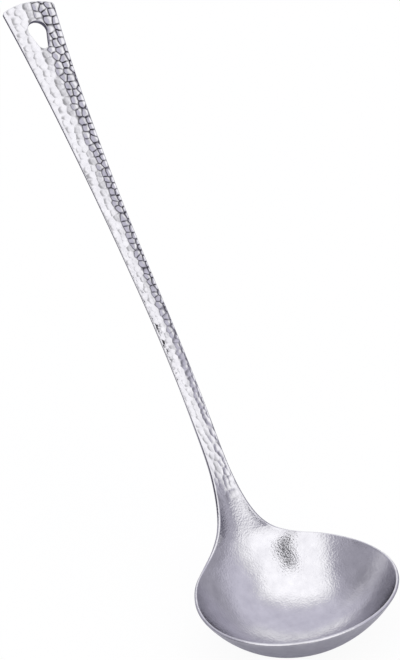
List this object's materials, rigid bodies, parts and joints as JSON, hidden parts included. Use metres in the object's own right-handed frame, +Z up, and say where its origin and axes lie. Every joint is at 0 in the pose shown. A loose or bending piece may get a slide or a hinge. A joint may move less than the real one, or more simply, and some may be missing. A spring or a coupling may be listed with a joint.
{
  "type": "soup ladle",
  "caption": "Steel soup ladle with a round dished bowl and a long hammered handle that widens to a tip with a tear-shaped hanging hole.",
  "frame": {"origin": "the lowest point of the bowl's outside, below the centre of its rim", "axes": "+Z up and square to the level rim, +X from the bowl towards the handle, +Y sideways"},
  "size_m": [0.2643, 0.0988, 0.2785],
  "materials": {
    "satin_steel": "satin stainless steel, drawn and brushed",
    "weld_steel": "stainless weld metal, ground flush and brushed",
    "hammered_steel": "stainless steel, hammered and polished"
  },
  "bodies": {
    "root": {"bowl": "satin_steel", "neck_weld": "weld_steel", "handle": "hammered_steel"}
  },
  "joints": []
}
